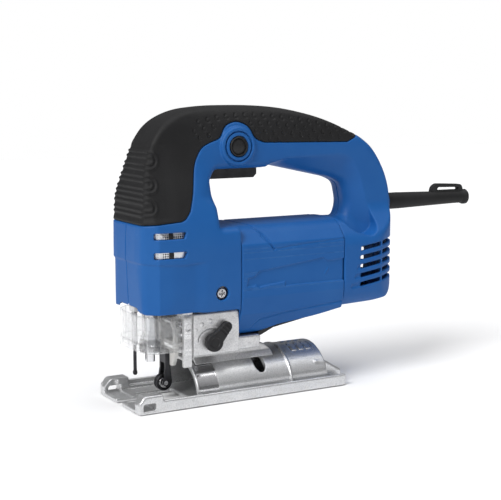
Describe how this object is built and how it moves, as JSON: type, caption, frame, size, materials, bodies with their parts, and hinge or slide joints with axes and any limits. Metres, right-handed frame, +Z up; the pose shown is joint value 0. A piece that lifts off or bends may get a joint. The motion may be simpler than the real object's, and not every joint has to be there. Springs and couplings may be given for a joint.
{
  "type": "jigsaw power tool",
  "caption": "Corded pendulum jigsaw with a closed handle, tilting cast base, blade clamp, guide roller, clear chip shield and side-mounted lock button.",
  "frame": {"origin": "middle of the base plate's sole face", "axes": "-X towards the blade end, +X towards the cord, -Y the tool's left side, +Z up"},
  "size_m": [0.3014, 0.0678, 0.205],
  "materials": {
    "blue_plastic": "fine-textured moulded nylon",
    "black_rubber": "soft overmould, dimpled",
    "black_plastic": "moulded, slight sheen",
    "dark_plastic": "moulded",
    "cast_alloy": "die cast, fine grain",
    "white_plastic": "moulded",
    "steel": "machined",
    "blackened_steel": "blackened",
    "silver_mesh": "fine grille",
    "bearing_steel": "ground",
    "lamination": "stacked sheet, varnished",
    "copper": "enamelled copper",
    "bronze": "sintered, oiled",
    "carbon": "pressed carbon",
    "clear_plastic": "clear polycarbonate"
  },
  "bodies": {
    "body": {"left_half_shell": "blue_plastic", "right_half_shell": "blue_plastic", "soft_grip": "black_rubber", "motor_housing": "blue_plastic", "under_cover": "black_plastic", "gear_housing": "cast_alloy", "gear_pin": "steel", "lower_bush": "bronze", "upper_bush": "bronze", "front_bearing": "bearing_steel", "rear_bearing": "bearing_steel", "stator_core": "lamination", "field_coils": "copper", "carbon_brushes": "carbon", "brush_holders": "dark_plastic", "brush_springs": "steel", "trigger_pin": "steel", "switch": "dark_plastic", "chip_shield": "clear_plastic", "wire_guard": "steel", "air_grilles": "silver_mesh", "cord_sleeve": "black_rubber", "cord_clamp": "dark_plastic", "cord_clamp_screws": "steel", "terminal_block": "dark_plastic", "suppression_capacitor": "white_plastic", "housing_screws": "steel", "bevel_bracket": "cast_alloy", "bevel_clamp_shoe": "steel", "base_bolt": "steel", "pendulum_pivot_pin": "steel"},
    "armature": {"armature_shaft": "steel", "armature_core": "lamination", "armature_winding_front": "copper", "armature_winding_rear": "copper", "commutator": "copper", "cooling_fan": "black_plastic"},
    "gear": {"drive_gear": "steel", "crank_pin": "steel"},
    "plunger": {"plunger": "steel", "blade_clamp": "steel"},
    "collar": {"clamp_collar": "steel"},
    "pendulum": {"pendulum_lever": "white_plastic", "roller_fork": "blackened_steel", "roller_pin": "steel"},
    "roller": {"guide_roller": "steel"},
    "orbital_lever": {"orbital_lever": "black_plastic", "orbital_cam": "steel"},
    "base": {"base_plate": "cast_alloy"},
    "trigger": {"trigger": "black_plastic", "trigger_spring": "steel"},
    "lock_button": {"lock_button": "black_plastic", "lock_button_spring": "steel"}
  },
  "joints": [
    {"name": "armature_spin", "type": "hinge", "parent": "body", "child": "armature", "pos_m": [0, 0, 0.09], "axis": [1, 0, 0], "continuous": true},
    {"name": "gear_spin", "type": "hinge", "parent": "body", "child": "gear", "pos_m": [0, 0, 0.118], "axis": [1, 0, 0], "continuous": true},
    {"name": "plunger_stroke", "type": "slide", "parent": "body", "child": "plunger", "axis": [0, 0, 1], "range_m": [-0.01, 0.01]},
    {"name": "collar_turn", "type": "hinge", "parent": "plunger", "child": "collar", "pos_m": [-0.06, 0, 0.039], "axis": [0, 0, 1], "range_deg": [0, 45], "stiffness_Nm_per_rad": 0.02},
    {"name": "pendulum_swing", "type": "hinge", "parent": "body", "child": "pendulum", "pos_m": [-0.044, 0, 0.055], "axis": [0, 1, 0], "range_deg": [0, 2.6]},
    {"name": "guide_roller_spin", "type": "hinge", "parent": "pendulum", "child": "roller", "pos_m": [-0.0504, 0, 0.012], "axis": [0, 1, 0], "continuous": true},
    {"name": "orbital_lever_turn", "type": "hinge", "parent": "body", "child": "orbital_lever", "pos_m": [-0.0265, 0, 0.0435], "axis": [0, -1, 0], "range_deg": [0, 97]},
    {"name": "base_tilt", "type": "hinge", "parent": "body", "child": "base", "pos_m": [0, 0, 0], "axis": [1, 0, 0], "range_deg": [-45, 45]},
    {"name": "trigger_pull", "type": "hinge", "parent": "body", "child": "trigger", "pos_m": [-0.0135, 0, 0.1642], "axis": [0, -1, 0], "range_deg": [0, 6.3], "stiffness_Nm_per_rad": 0.6, "springref_deg": -2.86},
    {"name": "lock_button_push", "type": "slide", "parent": "body", "child": "lock_button", "axis": [0, 1, 0], "range_m": [0, 0.003], "stiffness_N_per_m": 300, "springref_m": -0.001}
  ],
  "couplings": [
    {"joint": "gear_spin", "follows": "armature_spin", "ratio": -0.14286}
  ]
}
